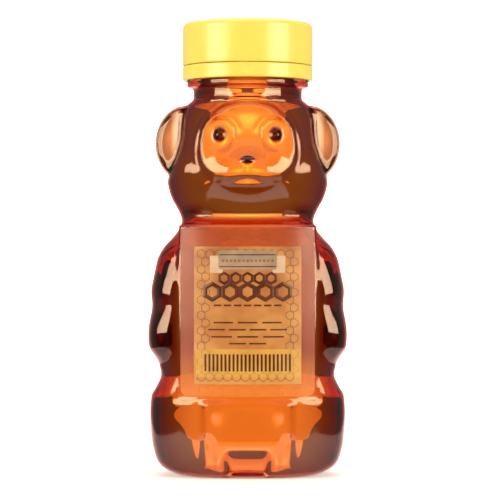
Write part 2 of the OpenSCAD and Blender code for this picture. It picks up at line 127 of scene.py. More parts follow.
# the label and the panel it lies on
LABEL_CORNER = 2.4
PANEL_R = 55.0
GLUE = 0.04
FILM = 0.15
PANEL_Y = -LABEL_LOW[1] - GLUE - FILM

# the bear's forms, on the pattern
MUZZLE_OUT = 3.6
THIGH_OUT = 0.5
BELLY_OUT = 1.0
ARM_OUT = 2.0
ARM_X = 30.0
FACE_Z = 113.5
FACE_W = 17.5
FACE_H = 15.0
FACE_Y = 22.9
FACE_BEND = 90.0
EAR_REACH = 32.0
EAR_T = 3.7
EAR_Z = 114.6
EAR_H = 13.4
EYE_X = 9.3
EYE_Z = 116.8
EYE_W = 2.3
EYE_H = 2.7
NOSE_Z = 108.2
NOSE_W = 2.6
NOSE_H = 1.5
MOUTH_Z = 101.4
PUSH_UP = 3.2
PUSH_R = 13.5

# the skin's points: half the angle over an ear, how much closer they lie there, the height up to
# which they follow the heel, and the rings of them under the foot
EAR_TURN = 13
EAR_FINER = 2.2
HEEL_TOP = 5
FOOT_RINGS = 16

# the clear wall as it is seen, and the gap between it and the honey
WALL = 0.55
HONEY_GAP = 0.08

# stations up the bear: height, half width, front reach, back reach, squareness
STATIONS = np.array([
    [0, 22.4, 16.0, 16.4, 2.3],
    [0.7, 25.4, 18.8, 18.9, 2.3],
    [1.7, 27.7, 20.6, 20.7, 2.3],
    [3, 29.8, 21.5, 22.2, 2.35],
    [5, 31.4, 22.4, 23.6, 2.35],
    [8, 32.5, 22.8, 24.6, 2.35],
    [12, 33.3, 23.0, 25.2, 2.35],
    [21, 33.9, 23.2, 25.6, 2.35],
    [27.2, 33.5, 23.8, 25.4, 2.4],
    [31, 31.6, 25.0, 25.1, 2.45],
    [34.8, 30.1, 24.9, 24.9, 2.5],
    [37.5, 30.6, 24.9, 24.9, 2.5],
    [41.5, 31.4, 25.0, 25.0, 2.45],
    [45.5, 32.4, 25.0, 25.1, 2.4],
    [52, 32.7, 25.0, 25.1, 2.4],
    [62, 32.6, 25.0, 24.6, 2.4],
    [70, 30.7, 24.9, 23.9, 2.4],
    [75.8, 29.2, 24.7, 23.0, 2.4],
    [79.2, 28.1, 24.2, 22.2, 2.4],
    [82, 26.2, 23.2, 21.5, 2.4],
    [85, 24.0, 21.4, 20.6, 2.4],
    [88, 22.9, 18.7, 19.8, 2.4],
    [89.6, 23.3, 17.5, 19.8, 2.35],
    [92, 24.4, 18.2, 20.0, 2.3],
    [95.2, 26.2, 19.6, 20.7, 2.2],
    [98.2, 27.3, 21.1, 21.2, 2.15],
    [101.5, 27.9, 22.5, 21.6, 2.1],
    [105, 27.1, 22.8, 22.0, 2.2],
    [110, 24.4, 22.6, 22.2, 2.35],
    [116, 23.3, 22.2, 22.1, 2.35],
    [122, 22.9, 21.4, 21.6, 2.3],
    [126, 22.1, 20.7, 20.9, 2.15],
    [128.6, 20.4, 19.8, 19.9, 2],
    [130, NECK_R / WS, NECK_R / DS, NECK_R / DS, 2],
    [PATTERN_H, NECK_R / WS, NECK_R / DS, NECK_R / DS, 2],
])


# The bear's form. Numbers in these functions are places and sizes on the pattern.

def ease(low, high, v):
    """0 up to low, 1 from high on, eased between."""
    t = np.clip((v - low) / (high - low), 0, 1)
    return t * t * (3 - 2 * t)


def window(low, high, soft, v):
    """1 between low and high, easing to 0 over soft beyond them."""
    return ease(low - soft, low, v) * (1 - ease(high, high + soft, v))


def hill(d):
    return np.exp(-d * d)


def disc(dx, dz, rx, rz):
    return np.sqrt((dx / rx) ** 2 + (dz / rz) ** 2)


def station_leans(k):
    """The slope at each station, chosen so that the curve never overshoots."""
    rise = np.diff(STATIONS[:, k]) / np.diff(STATIONS[:, 0])
    lean = np.empty(len(STATIONS))
    lean[0] = rise[0]
    lean[-1] = rise[-1]
    for i in range(1, len(rise)):
        product = rise[i - 1] * rise[i]
        lean[i] = 0 if product <= 0 else 2 * product / (rise[i - 1] + rise[i])
    return lean


LEANS = {k: station_leans(k) for k in (1, 2, 3, 4)}


def along(w, k):
    """A station's value at height w, on a smooth curve through the stations."""
    heights = STATIONS[:, 0]
    i = np.clip(np.searchsorted(heights, w, side="right") - 1, 0, len(heights) - 2)
    h = heights[i + 1] - heights[i]
    s = (w - heights[i]) / h
    v0, v1 = STATIONS[i, k], STATIONS[i + 1, k]
    m0, m1 = LEANS[k][i], LEANS[k][i + 1]
    return (
        (2 * s**3 - 3 * s**2 + 1) * v0 + (s**3 - 2 * s**2 + s) * h * m0
        + (3 * s**2 - 2 * s**3) * v1 + (s**3 - s**2) * h * m1
    )


def limbs(x, w):
    """Thighs, the lower belly with its arched foot, and the gap between the feet."""
    thighs = THIGH_OUT * hill(disc(abs(x) - 25.5, w - 17, 6.5, 11))
    foot = 9.2 - 5.5 * ease(6, 11, abs(x))
    belly = BELLY_OUT * (1 - ease(13, 17, abs(x))) * ease(foot - 2, foot + 2, w)
    gap = -4.2 * ease(0.2, 1.8, w) * (1 - ease(3.5, 11, w)) * (1 - ease(6.5, 9.5, abs(x)))
    return thighs + belly * (1 - ease(27, 32, w)) + gap


def arms(x, w):
    """Each arm climbs from the label's edge to its crest and falls away behind it."""
    off = abs(x) - ARM_X + 0.03 * (w - 44)
    across = np.where(off < 0, ease(-5.8, 0, off), hill(off / 4.5))
    swell = ease(38.5, 44.5, w) * (1 - ease(74, 84, w)) - 0.5 * hill((w - 58.5) / 4)
    paw = 0.6 * hill(disc(abs(x) - 29.5, w - 48.4, 3.5, 6))
    return ARM_OUT * (across * swell + paw)


def muzzle(x, w):
    cheeks = 0.8 * hill(disc(abs(x) - 5.6, w - 103.6, 5, 3.8))
    return MUZZLE_OUT * hill(disc(x, w - 105.4, 11.2, 7)) + cheeks


def eyes(x, w):
    d = disc(abs(x) - EYE_X, w - EYE_Z, EYE_W, EYE_H)
    return 1.6 * np.clip(1.05 - np.sqrt(d * d + 0.01), 0, 1) - 0.4 * hill((d - 1.6) / 0.4)


def nose(x, w):
    return 1.3 * (1 - ease(0.15, 1.2, disc(x, w - NOSE_Z, NOSE_W, NOSE_H)))


def mouth(x, w):
    line = MOUTH_Z - 0.9 * hill((abs(x) - 5.4) / 3) + 0.03 * abs(x)
    lips = -0.6 * hill((w - line) / 0.8) * (1 - ease(9.6, 11.6, abs(x)))
    return lips - 0.35 * hill(x / 0.9) * window(MOUTH_Z, NOSE_Z - 2, 1, w)


def brows(x, w):
    ring = disc(abs(x) - EYE_X, w - EYE_Z, 1, 1)
    return 0.35 * hill((ring - 6.6) / 0.9) * ease(0, 2.4, w - EYE_Z)


def creases(x, w):
    """The rim of the face, the cheeks, the chin fold, the knees and the line inside each arm."""
    rim = 0.55 * hill(disc(x, w - 112.6, 1, 1) - 17.6) * ease(104, 110, w)
    cheeks = hill(disc(abs(x) - 22.4, w - 107.5, 3.6, 5.5))
    chin = -0.5 * hill((w - 89.6 + 1.2 * hill(x / 12)) / 1.5) * hill(x / 22)
    knees = 0.5 * hill(disc(abs(x) - 10.4, w - 23.5, 2.6, 4))
    spikes = -0.5 * hill((abs(x) - 12.4 - 0.16 * (w - 8)) / 1.5) * window(5, 12, 4, w)
    arm_line = -0.3 * hill((abs(x) - 24.3) / 0.6) * window(42, 76, 4, w)
    return rim + cheeks + chin + knees + spikes + arm_line


def small_forms(x, w):
    return eyes(x, w) + nose(x, w) + mouth(x, w) + brows(x, w) + creases(x, w)


def ear_edge(w):
    """Outline of an ear, as a distance from the axis."""
    t = np.clip((w - EAR_Z) / EAR_H, -1, 1)
    return np.where(abs(t) < 1, 21 + (EAR_REACH / WS - 21) * np.sqrt(1 - t * t), 0)


def to_panel(ang, bend, reach):
    """Distance from the axis to an upright panel of this bend radius and reach."""
    c = (bend - reach) * np.sin(ang)
    return c + np.sqrt(np.maximum(c * c - (bend - reach) ** 2 + bend**2, 0))


def on_panel(x, z):
    """1 on the label's panel, easing to 0 round its edge."""
    across = window(-LABEL_W / 2 - 0.6, LABEL_W / 2 + 0.6, 1.8, x)
    return across * window(LABEL_Z - 0.9, LABEL_Z + LABEL_H + 0.6, 1.9, z)


def skin(z, ang, back_scale):
    """Distance from the axis to the bear's skin at a height and an angle."""
    w = z / HS
    front = np.sin(ang) < 0
    # the plain rounded section through the stations
    back_k = 1 + (back_scale - 1) * (1 - ease(98, 124, w))
    a = along(w, 1) * WS
    b = np.where(front, along(w, 2), along(w, 3) * back_k) * DS
    n = along(w, 4) + np.where(front, 0, 0.8) * window(100, 121, 7, w)
    plain = (abs(np.cos(ang) / a) ** n + abs(np.sin(ang) / b) ** n) ** (-1 / n)
    x = plain * np.cos(ang) / WS
    y = plain * np.sin(ang) / DS
    fore = ease(0, 9, -y)
    side = ease(-6, 6, -y)
    grown = plain + fore * fore * limbs(x, w) + side * arms(x, w)
    # the face plate, with the face on it
    mask = to_panel(ang, FACE_BEND, FACE_Y * DS)
    face = fore * (1 - ease(0.88, 1.12, disc(mask * np.cos(ang) / WS, w - FACE_Z, FACE_W, FACE_H)))
    faced = grown + face * (mask - grown)
    x = faced * np.cos(ang) / WS
    faced = faced + fore * (muzzle(x, w) + small_forms(x, w))
    # the label's panel, and the ears
    sheet = to_panel(ang, PANEL_R, PANEL_Y)
    flat = fore * on_panel(sheet * np.cos(ang), z)
    panelled = faced + flat * (sheet - faced)
    ear = (ear_edge(w) * WS - plain) * np.exp(-(abs(y) / EAR_T) ** 4)
    return panelled + np.maximum(ear, 0)


def half_angles(front_step, back_step):
    """Angles from the front, past the ear, to the back: closest on the ear and widest behind."""
    span = 90 - EAR_TURN
    ear_count = round(2 * EAR_TURN / front_step * EAR_FINER)
    front = np.linspace(-90, -EAR_TURN, round(span / front_step), endpoint=False)
    ear = np.linspace(-EAR_TURN, EAR_TURN, ear_count, endpoint=False)
    back = np.linspace(EAR_TURN, 90, round(span / back_step) + 1)
    return np.concatenate([front, ear, back])


def all_angles(front_step, back_step):
    half = half_angles(front_step, back_step)
    return np.radians(np.concatenate([half, 180 - half[-2:0:-1]]))


def bear_levels(step):
    """Heights up the bear: close at the heel, where the skin curves under."""
    heel = BEAR_H * (1 - np.cos(np.linspace(0, 0.35, 14)))
    heel = heel[heel < HEEL_TOP]
    rest = np.arange(HEEL_TOP, BEAR_H - step / 2, step)
    return np.concatenate([heel, rest, [BEAR_H]])


def dome(r):
    """Height of the push-up under the foot at a distance from the middle."""
    ball = (PUSH_R**2 + PUSH_UP**2) / 2 / PUSH_UP
    inside = np.sqrt(np.maximum(ball**2 - r**2, 0)) - (ball - PUSH_UP)
    return np.where(r < PUSH_R, np.maximum(inside, 0), 0)


def bear_grid(step, front_step, back_step):
    """Points on the outside of the bear: rows from the middle of the foot to the neck."""
    angles = all_angles(front_step, back_step)
    levels = bear_levels(step)
    z, ang = np.meshgrid(levels, angles, indexing="ij")
    front_reach = np.max(-skin(z, ang, 1.0) * np.sin(ang))
    back_reach = np.max(along(levels / HS, 3) * DS)
    r = skin(z, ang, front_reach / back_reach)
    side = np.stack([r * np.cos(ang), r * np.sin(ang), z], axis=-1)
    foot = []
    for f in np.linspace(0.08, 0.985, FOOT_RINGS):
        ring = side[0] * f
        ring[:, 2] = dome(np.hypot(ring[:, 0], ring[:, 1]))
        foot.append(ring)
    return np.concatenate([np.array(foot), side])


def grid_normals(grid):
    """Outward normals of a grid whose rows go up and whose columns go round."""
    up = np.gradient(grid, axis=0)
    wrapped = np.concatenate([grid[:, -1:], grid, grid[:, :1]], axis=1)
    across = (wrapped[:, 2:] - wrapped[:, :-2]) / 2
    normals = np.cross(across, up)
    return normals / np.maximum(np.linalg.norm(normals, axis=-1, keepdims=True), 1e-12)


def lathe_rows(profile, angles):
    """Rows of points for a profile of (radius, height) turned round the axis."""
    return np.array([
        np.stack([r * np.cos(angles), r * np.sin(angles), np.full(len(angles), z)], axis=-1)
        for r, z in profile
    ])


def arc_points(cx, cz, radius, start, end, count):
    """Points on a quarter round or other arc, angles in degrees."""
    return [
        (cx + radius * math.cos(math.radians(t)), cz + radius * math.sin(math.radians(t)))
        for t in np.linspace(start, end, count)
    ]


# Meshes

def finish_piece(obj, body, *nodes, slot):
    """Puts a piece on its body and hides the nodes it stands for."""
    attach(obj, body)
    if nodes:
        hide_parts(*nodes)


def linked(name, data):
    """A new object at the origin, in the scene."""
    obj = bpy.data.objects.new(name, data)
    bpy.context.scene.collection.objects.link(obj)
    return obj


def make_mesh(name, points, faces, material, smooth=True):
    """A mesh object from points in millimetres."""
    mesh = bpy.data.meshes.new(name)
    mesh.from_pydata((np.asarray(points) * MM).tolist(), [], faces)
    mesh.materials.append(material)
    mesh.polygons.foreach_set("use_smooth", [smooth] * len(mesh.polygons))
    mesh.update()
    return linked(name, mesh)


def grid_faces(rows, cols):
    """Quads of a grid that closes round its columns; its outside is on the right going up."""
    i, j = np.meshgrid(np.arange(rows - 1), np.arange(cols), indexing="ij")
    k = (j + 1) % cols
    quads = np.stack([i * cols + j, i * cols + k, (i + 1) * cols + k, (i + 1) * cols + j], axis=-1)
    return quads.reshape(-1, 4).tolist()


def closed_grid(name, rows, material):
    """A closed skin: rows of points, with a pole at each end."""
    count, cols = rows.shape[:2]
    first = rows[0].mean(axis=0)
    last = rows[-1].mean(axis=0)
    points = np.concatenate([rows.reshape(-1, 3), [first, last]])
    faces = grid_faces(count, cols)
    low, high = count * cols, count * cols + 1
    top = (count - 1) * cols
    faces += [[low, (j + 1) % cols, j] for j in range(cols)]
    faces += [[high, top + j, top + (j + 1) % cols] for j in range(cols)]
    return make_mesh(name, points, faces, material)


def ring_grid(name, rows, material):
    """A closed ring: rows of points that come back to the first row."""
    count, cols = rows.shape[:2]
    faces = np.array(grid_faces(count + 1, cols)) % (count * cols)
    return make_mesh(name, rows.reshape(-1, 3), faces.tolist(), material)


def filleted(corners, radius, steps=4):
    """A closed outline of (radius, height) corners with each corner rounded, for turning on the axis."""
    pts = np.array(corners, float)
    out = []
    for i, here in enumerate(pts):
        back = pts[i - 1] - here
        ahead = pts[(i + 1) % len(pts)] - here
        lb, la = np.linalg.norm(back), np.linalg.norm(ahead)
        cut = min(radius, lb * 0.45, la * 0.45)
        start = here + back / lb * cut
        end = here + ahead / la * cut
        for t in np.linspace(0, 1, steps + 1):
            out.append((1 - t) ** 2 * start + 2 * t * (1 - t) * here + t * t * end)
    return out


def bent_y(x, lift):
    """Y of the label panel at x, lift millimetres proud of the bear."""
    r = PANEL_R + lift
    return (PANEL_R - PANEL_Y) - np.sqrt(r * r - x * x)


# rows in a label sheet's corner and between its corners, and points across it
CORNER_ROWS = 7
SHEET_ROWS = 24
SHEET_COLS = 49


def label_sheet(name, half_w, low, high, corner, lift, thick, material, centre=0.0):
    """A thin sheet with rounded corners, bent to the label panel."""
    turn = np.linspace(0, math.pi / 2, CORNER_ROWS)
    ends = corner * (1 - np.cos(turn))
    middle = np.linspace(low + corner, high - corner, SHEET_ROWS)[1:-1]
    zs = np.concatenate([low + ends, middle, high - ends[::-1]])
    depth = np.minimum(np.minimum(zs - low, high - zs), corner)
    half = half_w - corner + np.sqrt(np.maximum(corner**2 - (corner - depth) ** 2, 0))
    s = np.linspace(-1, 1, SHEET_COLS)
    x = half[:, None] * s[None, :] + centre
    z = np.repeat(zs[:, None], len(s), axis=1)
    front = np.stack([x, bent_y(x, lift + thick), z], axis=-1)
    back = np.stack([x, bent_y(x, lift), z], axis=-1)
    rows = np.concatenate([front, back[:, ::-1]], axis=1)
    count, cols = rows.shape[:2]
    faces = grid_faces(count, cols)
    last = (count - 1) * cols
    for j in range(SHEET_COLS - 1):
        a, b = j, j + 1
        c, d = cols - 2 - j, cols - 1 - j
        faces.append([a, d, c, b])
        faces.append([last + a, last + b, last + c, last + d])
    return make_mesh(name, rows.reshape(-1, 3), faces, material, smooth=False)


# Node trees

class Nodes:
    """A node tree as it is built: it adds nodes and joins values to their inputs."""

    def __init__(self, tree):
        self.tree = tree

    def open_group(self, outputs, inputs):
        """Gives a group its named outputs, each with its type, and its named number inputs."""
        for label, value in inputs.items():
            title = label.replace("_", " ").title()
            kind = "NodeSocketInt" if isinstance(value, int) else "NodeSocketFloat"
            socket = self.tree.interface.new_socket(name=title, in_out="INPUT", socket_type=kind)
            socket.default_value = value
        for label, kind in outputs.items():
            self.tree.interface.new_socket(name=label, in_out="OUTPUT", socket_type=kind)
        self.given = self.add("NodeGroupInput").outputs
        self.out = self.add("NodeGroupOutput").inputs

    def join(self, value, socket):
        """Links a node or a socket to an input, or sets a plain value on it."""
        if isinstance(value, bpy.types.Node):
            value = value.outputs[0]
        if isinstance(value, bpy.types.NodeSocket):
            self.tree.links.new(value, socket)
        else:
            socket.default_value = value

    def add(self, kind, **inputs):
        """A node; keyword names are its inputs with _ for a space, or settings that start lower case."""
        node = self.tree.nodes.new(kind)
        for label, value in inputs.items():
            if hasattr(node, label):
                setattr(node, label, value)
            else:
                self.join(value, node.inputs[label.replace("_", " ")])
        return node

    def math(self, operation, *values):
        node = self.add("ShaderNodeMath", operation=operation)
        for value, socket in zip(values, node.inputs):
            self.join(value, socket)
        return node.outputs[0]

    def plus(self, a, b):
        return self.math("ADD", a, b)

    def minus(self, a, b):
        return self.math("SUBTRACT", a, b)

    def times(self, a, b):
        return self.math("MULTIPLY", a, b)

    def over(self, a, b):
        return self.math("DIVIDE", a, b)

    def smaller(self, a, b):
        return self.math("MINIMUM", a, b)

    def unsigned(self, a):
        return self.math("ABSOLUTE", a)

    def spread(self, value, low, high, to_low, to_high):
        """Maps low to high onto the other two, and holds the value between them."""
        node = self.add("ShaderNodeMapRange", Value=value)
        for socket, number in zip(node.inputs[1:5], (low, high, to_low, to_high)):
            socket.default_value = number
        return node.outputs[0]

    def object_place(self):
        return self.add("ShaderNodeTexCoord").outputs["Object"]

    def object_axes(self):
        return self.add("ShaderNodeSeparateXYZ", Vector=self.object_place()).outputs

    def noise(self, scale, detail, stretch=None):
        """Noise on Object coordinates, stretched along an axis if asked."""
        place = self.object_place()
        if stretch:
            place = self.add("ShaderNodeMapping", Vector=place, Scale=stretch)
        return self.add("ShaderNodeTexNoise", Vector=place, Scale=scale, Detail=detail).outputs[0]

    def oval(self, x, z, centre, half):
        """Squared distance from an oval's centre: 1 on its edge."""
        across = self.over(self.minus(x, centre[0] * MM), half[0] * MM)
        up = self.over(self.minus(z, centre[1] * MM), half[1] * MM)
        return self.math("MULTIPLY_ADD", across, across, self.times(up, up))


class Shape(Nodes):
    """A geometry node tree with named number inputs and one mesh out."""

    def __init__(self, name, **inputs):
        super().__init__(bpy.data.node_groups.new(name, "GeometryNodeTree"))
        self.open_group({"Mesh": "NodeSocketGeometry"}, inputs)

    def point(self, x, y, z):
        return self.add("ShaderNodeCombineXYZ", X=x, Y=y, Z=z)

    def point_axes(self):
        return self.add("ShaderNodeSeparateXYZ", Vector=self.add("GeometryNodeInputPosition")).outputs

    def place(self, geometry, x, y, z):
        return self.add("GeometryNodeSetPosition", Geometry=geometry, Position=self.point(x, y, z))

    def circle(self, sides, radius):
        return self.add("GeometryNodeCurvePrimitiveCircle", Resolution=sides, Radius=radius)

    def end(self, geometry, material):
        """Realizes the instances, gives the material and puts the mesh out."""
        real = self.add("GeometryNodeRealizeInstances", Geometry=geometry)
        self.join(self.add("GeometryNodeSetMaterial", Geometry=real, Material=material), self.out[0])

    def make(self, name, smooth=True):
        """The plain mesh object that the tree gives with its own input values."""
        holder = linked(name + "_holder", bpy.data.meshes.new(name + "_holder"))
        modifier = holder.modifiers.new("shape", "NODES")
        modifier.node_group = self.tree
        for item in self.tree.interface.items_tree:
            if item.in_out == "INPUT":
                modifier[item.identifier] = item.default_value
        graph = bpy.context.evaluated_depsgraph_get()
        mesh = bpy.data.meshes.new_from_object(holder.evaluated_get(graph))
        holder.modifiers.remove(modifier)
        bpy.data.objects.remove(holder)
        mesh.name = name
        mesh.polygons.foreach_set("use_smooth", [smooth] * len(mesh.polygons))
        return linked(name, mesh)


# Screw ridges and the label's marks

# steps are for one turn of a ridge; a cell's size and line are shares of its width and height
RIDGE_STEPS = 90
RIDGE_SIDES = 14
CELL_SIDES = 6
CELL_SIZE = 0.42
CELL_LINE = 0.12
PEN_SIDES = 4
RULE_POINTS = 17
INK_FLATTENED = 0.12


def thread_ridge(name, centre_r, ridge_r, start_z, turns, material):
    """A rounded screw ridge that winds up round the axis and runs out at both ends."""
    t = Shape(
        "winding_ridge",
        centre_radius=centre_r * MM,
        ridge_radius=ridge_r * MM,
        start_height=start_z * MM,
        pitch=PITCH * MM,
        turns=turns,
        steps=int(RIDGE_STEPS * turns),
    )
    line = t.add("GeometryNodeMeshLine", Count=t.given["Steps"])
    share = t.over(t.add("GeometryNodeInputIndex"), t.minus(t.given["Steps"], 1.0))
    turned = t.times(share, t.given["Turns"])
    angle = t.times(turned, 2 * math.pi)
    x = t.times(t.math("COSINE", angle), t.given["Centre Radius"])
    y = t.times(t.math("SINE", angle), t.given["Centre Radius"])
    z = t.plus(t.times(turned, t.given["Pitch"]), t.given["Start Height"])
    curve = t.add("GeometryNodeMeshToCurve", Mesh=t.place(line, x, y, z))
    # it grows to its full size over about a tenth of its length at each end
    to_end = t.smaller(share, t.minus(1.0, share))
    run_out = t.smaller(t.plus(t.times(to_end, 9.0), 0.12), 1.0)
    section = t.circle(RIDGE_SIDES, t.given["Ridge Radius"])
    ridge = t.add("GeometryNodeCurveToMesh", Curve=curve, Profile_Curve=section, Scale=run_out)
    t.join(True, ridge.inputs["Fill Caps"])
    t.end(ridge, material)
    return t.make(name)


def cell_outline(t, radius, line_radius):
    """One six-sided wax cell, drawn in outline."""
    ring = t.circle(CELL_SIDES, radius)
    pen = t.circle(PEN_SIDES, line_radius)
    return t.add("GeometryNodeCurveToMesh", Curve=ring, Profile_Curve=pen)


def print_marks(t, points, mark, tilt, ink):
    """Puts an upright mark on each point and lays them all on the bent panel, thin as a film."""
    turn = t.point(math.pi / 2, tilt, 0.0)
    marks = t.add("GeometryNodeInstanceOnPoints", Points=points, Instance=mark, Rotation=turn)
    real = t.add("GeometryNodeRealizeInstances", Geometry=marks)
    x, y, z = t.point_axes()
    radius = t.plus(t.given["Panel Radius"], t.given["Ink Lift"])
    inside = t.minus(t.times(radius, radius), t.times(x, x))
    middle = t.minus(t.given["Panel Radius"], t.given["Panel Front"])
    sheet = t.minus(middle, t.math("SQRT", inside))
    t.end(t.place(real, x, t.plus(sheet, t.times(y, INK_FLATTENED)), z), ink)


def label_cells(half_w, low, high, lift, ink):
    """A border of six-sided wax cells, in outline, round the printed field."""
    t = Shape(
        "wax_cells",
        half_width=half_w * MM,
        low_edge=low * MM,
        high_edge=high * MM,
        cell_pitch=3.0 * MM,
        line_width=0.2 * MM,
        border=4.6 * MM,
        ink_lift=lift * MM,
        panel_radius=PANEL_R * MM,
        panel_front=PANEL_Y * MM,
    )
    pitch = t.given["Cell Pitch"]
    row_pitch = t.times(pitch, math.sqrt(0.75))
    cols = t.math("FLOOR", t.over(t.times(t.given["Half Width"], 2.0), pitch))
    height = t.minus(t.given["High Edge"], t.given["Low Edge"])
    rows = t.math("FLOOR", t.over(height, row_pitch))
    line = t.add("GeometryNodeMeshLine", Count=t.times(rows, cols))
    index = t.add("GeometryNodeInputIndex")
    row = t.math("FLOOR", t.over(t.plus(index, 0.5), cols))
    col = t.minus(index, t.times(row, cols))
    # every other row is shifted by half a cell
    shift = t.plus(t.times(t.math("MODULO", row, 2.0), 0.5), 0.25)
    x = t.times(t.minus(t.plus(col, shift), t.over(cols, 2.0)), pitch)
    spare = t.minus(height, t.times(rows, row_pitch))
    first = t.plus(t.given["Low Edge"], t.over(t.plus(spare, row_pitch), 2.0))
    placed = t.place(line, x, 0.0, t.plus(first, t.times(row, row_pitch)))
    # only the cells within the border are kept
    at_x, _, at_z = t.point_axes()
    side = t.minus(t.given["Half Width"], t.unsigned(at_x))
    ends = t.smaller(t.minus(at_z, t.given["Low Edge"]), t.minus(t.given["High Edge"], at_z))
    inner = t.math("GREATER_THAN", t.smaller(side, ends), t.given["Border"])
    kept = t.add("GeometryNodeDeleteGeometry", Geometry=placed, Selection=inner)
    cell = cell_outline(t, t.times(pitch, 0.5), t.over(t.given["Line Width"], 2.0))
    print_marks(t, kept, cell, math.pi / 6, ink)
    return t.make("label_cells", smooth=False)


def label_row(name, kind, count, pitch, mark_w, mark_h, centre_z, lift, ink):
    """A row of equal plain marks on the label: bars and rules, or wax cells."""
    t = Shape(
        name + "_row",
        count=count,
        mark_pitch=pitch * MM,
        mark_width=mark_w * MM,
        mark_height=mark_h * MM,
        centre_height=centre_z * MM,
        ink_lift=lift * MM,
        panel_radius=PANEL_R * MM,
        panel_front=PANEL_Y * MM,
    )
    line = t.add("GeometryNodeMeshLine", Count=t.given["Count"])
    middle = t.over(t.minus(t.given["Count"], 1.0), 2.0)
    x = t.times(t.minus(t.add("GeometryNodeInputIndex"), middle), t.given["Mark Pitch"])
    placed = t.place(line, x, 0.0, t.given["Centre Height"])
    wide, tall = t.given["Mark Width"], t.given["Mark Height"]
    if kind == "cells":
        cell = cell_outline(t, t.times(wide, CELL_SIZE), t.times(tall, CELL_LINE))
        print_marks(t, placed, cell, math.pi / 6, ink)
    else:
        # a long rule has points enough along it to follow the panel's bend
        points = {"Vertices_X": RULE_POINTS, "Vertices_Y": 2}
        bar = t.add("GeometryNodeMeshGrid", Size_X=wide, Size_Y=tall, **points)
        print_marks(t, placed, bar, 0.0, ink)
    return t.make(name, smooth=False)


# Shader groups that several finishes share

def new_group(name, outputs, **inputs):
    """An empty shader group with named number inputs, which puts out named values."""
    group = Nodes(bpy.data.node_groups.new(name, "ShaderNodeTree"))
    group.open_group({label: "NodeSocketFloat" for label in outputs}, inputs)
    return group


def grain_group():
    """Fine moulded grain: a height, and a value that drifts slowly over the surface."""
    g = new_group("moulded_grain", ("Height", "Drift"), grain_scale=2600.0, drift_scale=45.0)
    g.join(g.noise(g.given["Grain Scale"], 4.0), g.out["Height"])
    g.join(g.noise(g.given["Drift Scale"], 2.0), g.out["Drift"])
    return g.tree


def scuff_group():
    """Handling marks: fine upright scratches and small rubbed spots, as a mask from 0 to 1."""
    g = new_group("handling_marks", ("Marks",), scratch_scale=900.0, rub_scale=160.0, amount=0.5)
    streaks = g.noise(g.given["Scratch Scale"], 2.0, (1.0, 1.0, 0.05))
    scratches = g.times(g.spread(streaks, 0.62, 0.72, 0, 1), 0.7)
    rubs = g.spread(g.noise(g.given["Rub Scale"], 3.0), 0.58, 0.75, 0, 1)
    g.join(g.times(g.math("MAXIMUM", scratches, rubs), g.given["Amount"]), g.out["Marks"])
    return g.tree


def blown_group():
    """The blown wall's soft ripples, and the parting line down each side, as a height."""
    g = new_group(
        "blown_ripple", ("Height",), ripple_scale=70.0, seam_half_width=0.22 * MM, seam_depth=0.5
    )
    ripple = g.noise(g.given["Ripple Scale"], 2.0, (1.0, 1.0, 0.55))
    x, y, _ = g.object_axes()
    seam = g.minus(1.0, g.smaller(g.over(g.unsigned(y), g.given["Seam Half Width"]), 1.0))
    at_side = g.math("GREATER_THAN", g.unsigned(x), 12 * MM)
    line = g.times(g.times(seam, at_side), g.given["Seam Depth"])
    g.join(g.plus(ripple, line), g.out["Height"])
    return g.tree


GRAIN = grain_group()
SCUFFS = scuff_group()
BLOWN = blown_group()


# Finishes

class Finish(Nodes):
    """A material as it is built, with its shader and its output."""

    def __init__(self, name, **values):
        self.material = bpy.data.materials.new(name)
        self.material.use_nodes = True
        super().__init__(self.material.node_tree)
        self.shader = self.tree.nodes["Principled BSDF"]
        self.out = self.tree.nodes["Material Output"].inputs
        self.set(**values)

    def set(self, **values):
        for label, value in values.items():
            self.join(value, self.shader.inputs[label.replace("_", " ")])

    def group(self, tree, **values):
        return self.add("ShaderNodeGroup", node_tree=tree, **values)

    def bump(self, height, strength, depth):
        """A normal from a height that is depth millimetres deep."""
        return self.add("ShaderNodeBump", Strength=strength, Distance=depth * MM, Height=height)

    def blend(self, factor, first, second):
        """A colour between two by a factor; each is a colour or a socket."""
        # the mix node's colours are its inputs 6 and 7, and its output 2
        node = self.add("ShaderNodeMix", data_type="RGBA", Factor=factor)
        self.join(first, node.inputs[6])
        self.join(second, node.inputs[7])
        return node.outputs[2]

    def drift(self, grain, low, high, reach=0.2):
        """Drifts between two values over the surface; a small reach makes firmer patches."""
        return self.spread(grain.outputs["Drift"], 0.5 - reach, 0.5 + reach, low, high)

    def painted(self, colour, roughness, normal):
        """Ends the finish as a solid surface."""
        self.set(Base_Color=colour, Roughness=roughness, Normal=normal)
        return self.material

    def see_through(self, colour, gloss, normal, roughness, shine):
        """Ends the finish as a clear wall: a see-through colour under a share of gloss."""
        self.tree.nodes.remove(self.shader)
        see = self.add("ShaderNodeBsdfTransparent", Color=colour)
        bright = self.add("ShaderNodeBsdfGlossy", Color=gloss, Normal=normal, Roughness=roughness)
        mix = self.add("ShaderNodeMixShader", Fac=shine)
        self.join(see, mix.inputs[1])
        self.join(bright, mix.inputs[2])
        self.join(mix, self.out["Surface"])
        return self.material


def spot(f, x, z, centre, half):
    """1 inside an oval on the face, 0 outside, with a soft edge."""
    return f.spread(f.oval(x, z, centre, half), 0.55, 1.15, 1, 0)


def painted_eye_nose_shade(f):
    """Painted shade: the moulded eyes and nose get a dark brown tint, standing in for the darkness their
    lenses show.
    """
    x, y, z = f.object_axes()
    aside = f.unsigned(x)
    eye = spot(f, aside, z, (EYE_X, EYE_Z), (EYE_W, EYE_H))
    nose_spot = spot(f, aside, z, (0, NOSE_Z), (NOSE_W, NOSE_H))
    in_front = f.math("LESS_THAN", y, -10 * MM)
    return f.times(f.math("MAXIMUM", eye, nose_spot), in_front)


